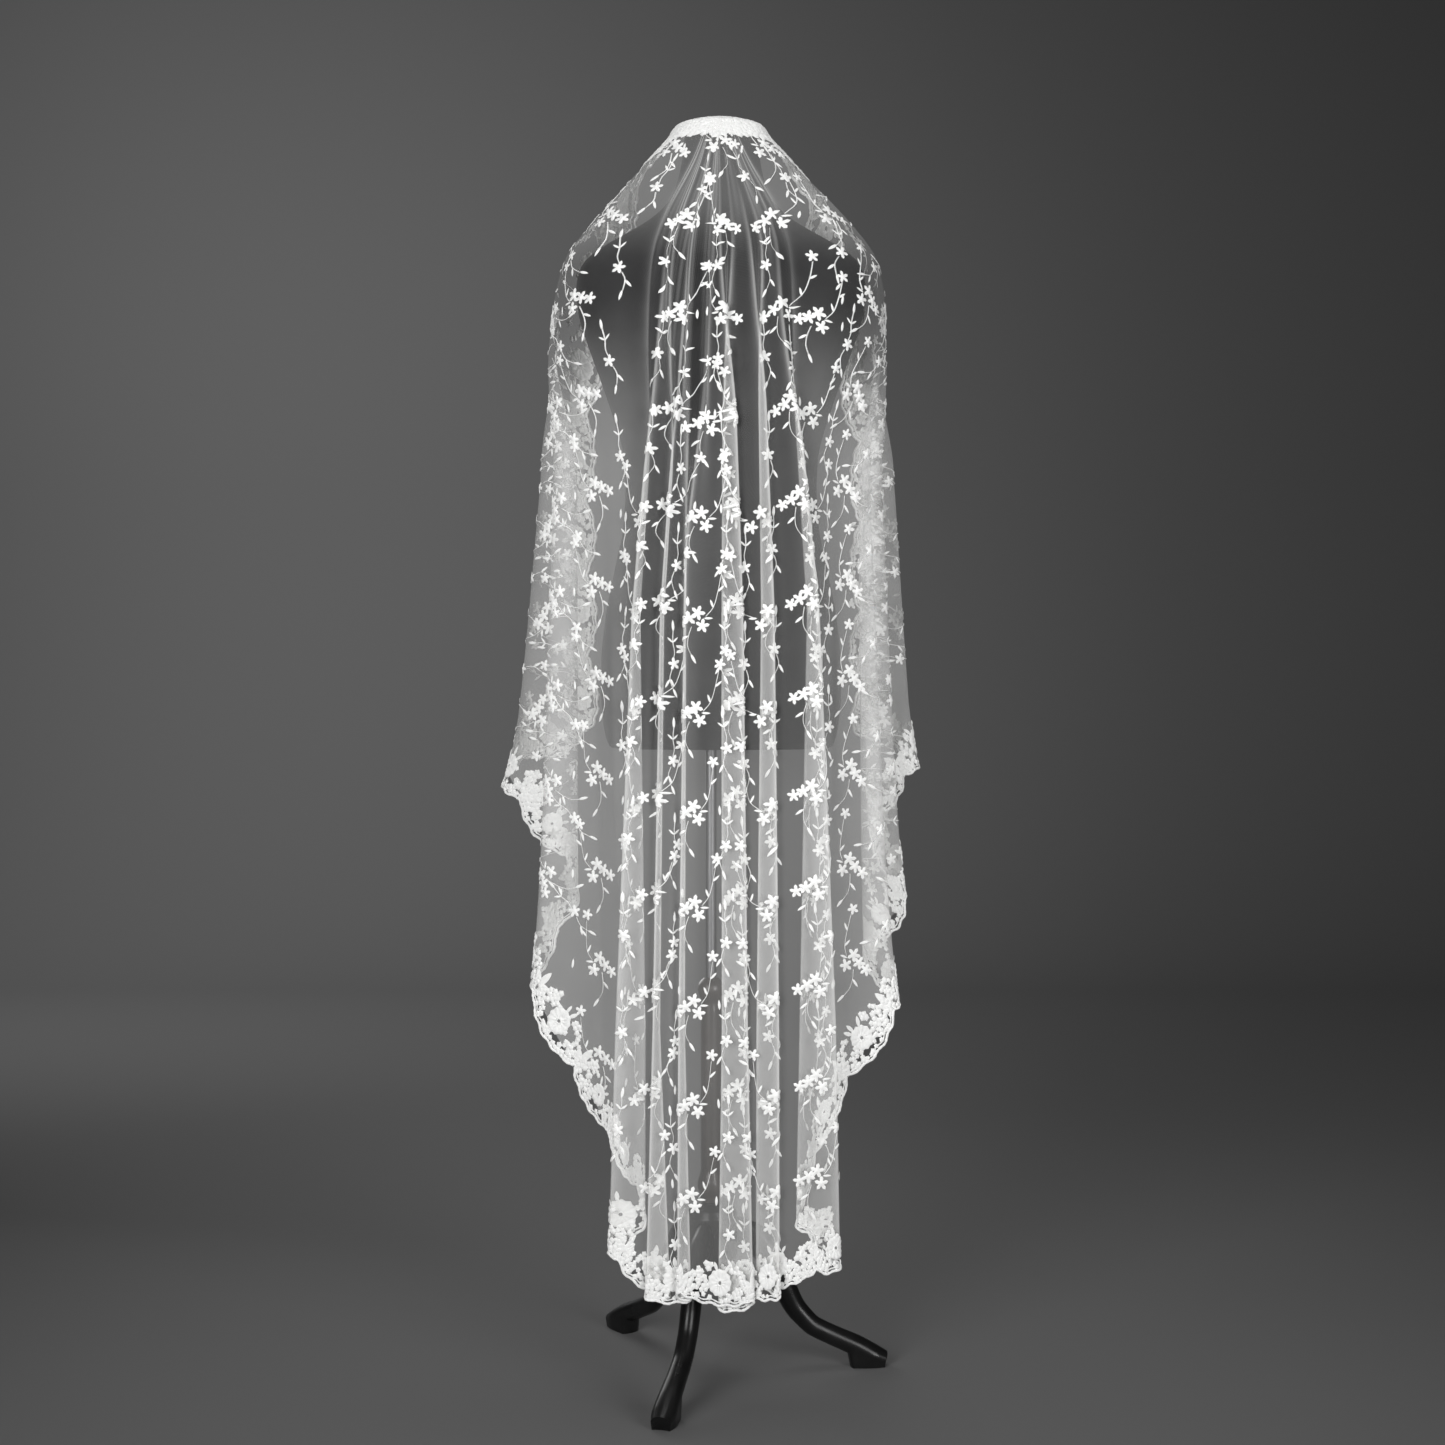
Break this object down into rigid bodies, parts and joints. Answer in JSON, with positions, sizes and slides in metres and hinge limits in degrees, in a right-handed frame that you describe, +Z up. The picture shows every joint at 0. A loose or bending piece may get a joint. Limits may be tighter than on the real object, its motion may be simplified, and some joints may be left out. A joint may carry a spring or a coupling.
{
  "type": "embroidered tulle chapel veil draped on a dress form with stand",
  "caption": "Long oval tulle veil with a scalloped lace border, draped over the neck of a limbless dress form on a tripod stand, its back falling in knife pleats",
  "frame": {"origin": "on the floor, under the middle of the part's bounding box", "axes": "+Z is up; -Y is the veil's long back, the side the picture shows; +Y is the form's front; +X is to the right in the picture"},
  "size_m": [0.5372, 0.4, 1.5647],
  "materials": {
    "white_tulle": "sheer matte net",
    "white_lace": "matte corded lace",
    "black_jersey": "matte jersey",
    "black_cap": "satin",
    "grey_metal": "brushed",
    "dark_wood": "dark satin",
    "black_gloss": "black gloss lacquer"
  },
  "bodies": {
    "root": {"tulle_shoulders": "white_tulle", "tulle_left": "white_tulle", "tulle_back": "white_tulle", "tulle_right": "white_tulle", "lace_crown": "white_lace", "lace_front_left": "white_lace", "lace_front_right": "white_lace", "lace_hem_left": "white_lace", "lace_hem_back": "white_lace", "lace_hem_right": "white_lace", "form_torso": "black_jersey", "form_neck_cap": "black_cap", "stand_rod": "grey_metal", "stand_column": "dark_wood", "stand_hub": "black_gloss", "stand_leg_right": "black_gloss", "stand_leg_left": "black_gloss", "stand_leg_camera": "black_gloss"}
  },
  "joints": []
}
